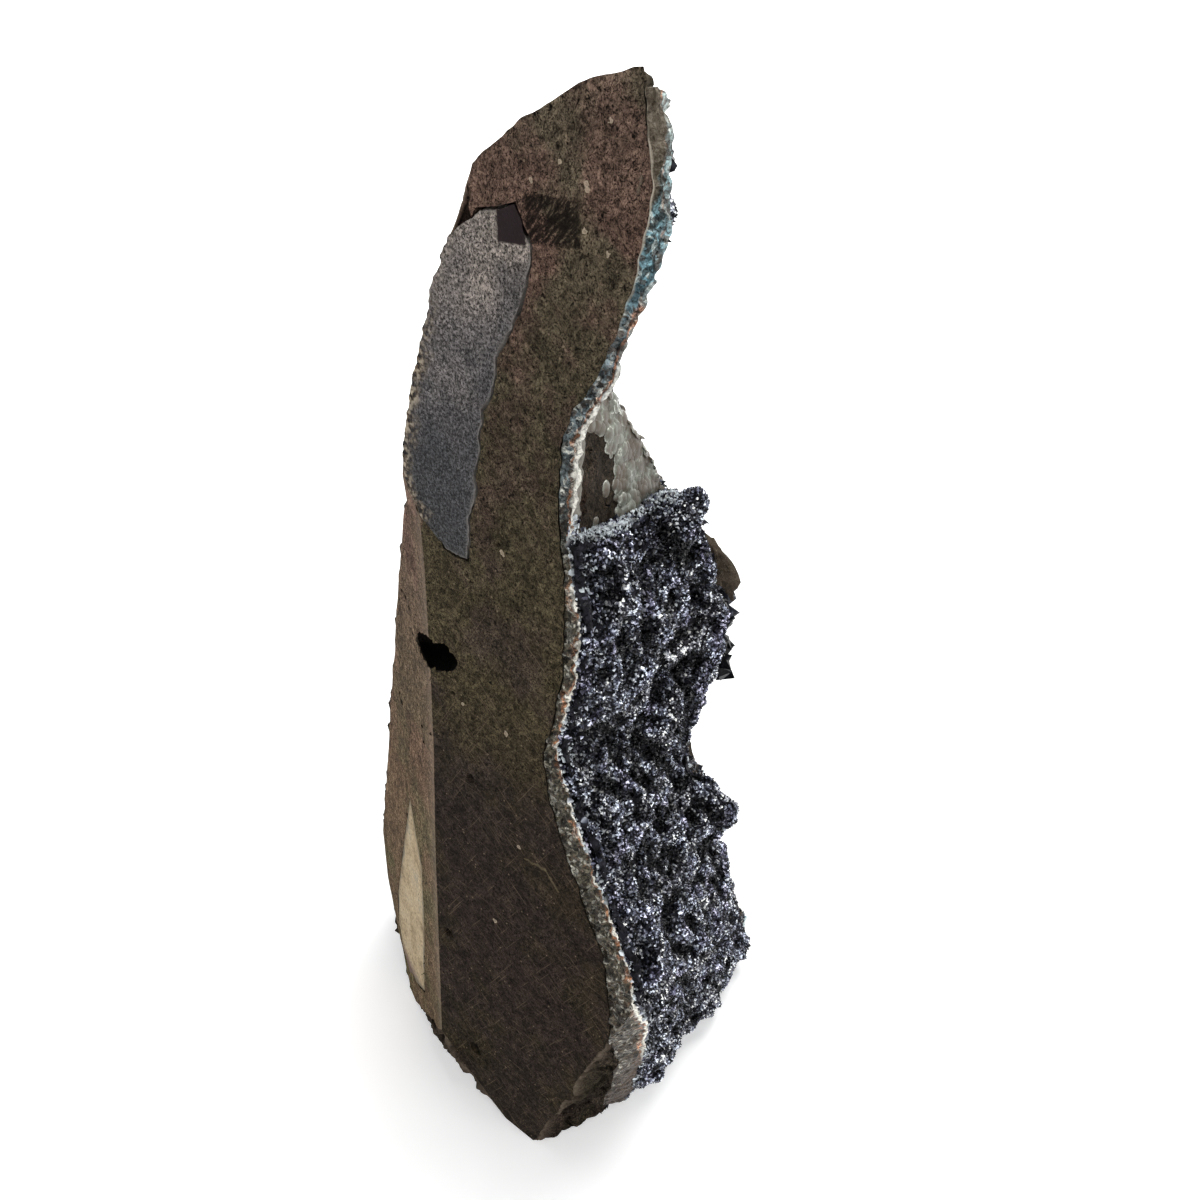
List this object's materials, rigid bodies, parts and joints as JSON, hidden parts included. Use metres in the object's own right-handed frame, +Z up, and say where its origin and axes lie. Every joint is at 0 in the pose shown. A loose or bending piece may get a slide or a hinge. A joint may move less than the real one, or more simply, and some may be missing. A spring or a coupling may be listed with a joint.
{
  "type": "black amethyst specimen",
  "caption": "Upright black amethyst specimen: sawn basalt wedge with half a hollow, lined with chalcedony and small dark quartz points, and a grey agate vein.",
  "frame": {"origin": "on the plane of the flat sawn foot; the Z axis stands 47.2 mm behind the sawn front", "axes": "+Z up; -Y towards a viewer who sees the sawn front on the left and the hollow on the right; +X to that viewer's right"},
  "size_m": [0.1325, 0.1667, 0.3],
  "materials": {
    "basalt": "matte sawn and broken rock",
    "chalcedony": "waxy",
    "black_amethyst": "glassy crystal points",
    "grey_agate": "sawn, satin",
    "cream_vein": "sawn, matte"
  },
  "bodies": {
    "root": {"basalt_host": "basalt", "chalcedony_rind": "chalcedony", "amethyst_crust": "black_amethyst", "upper_amethyst_crust": "black_amethyst", "grey_agate_vein": "grey_agate", "cream_vein": "cream_vein"}
  },
  "joints": []
}
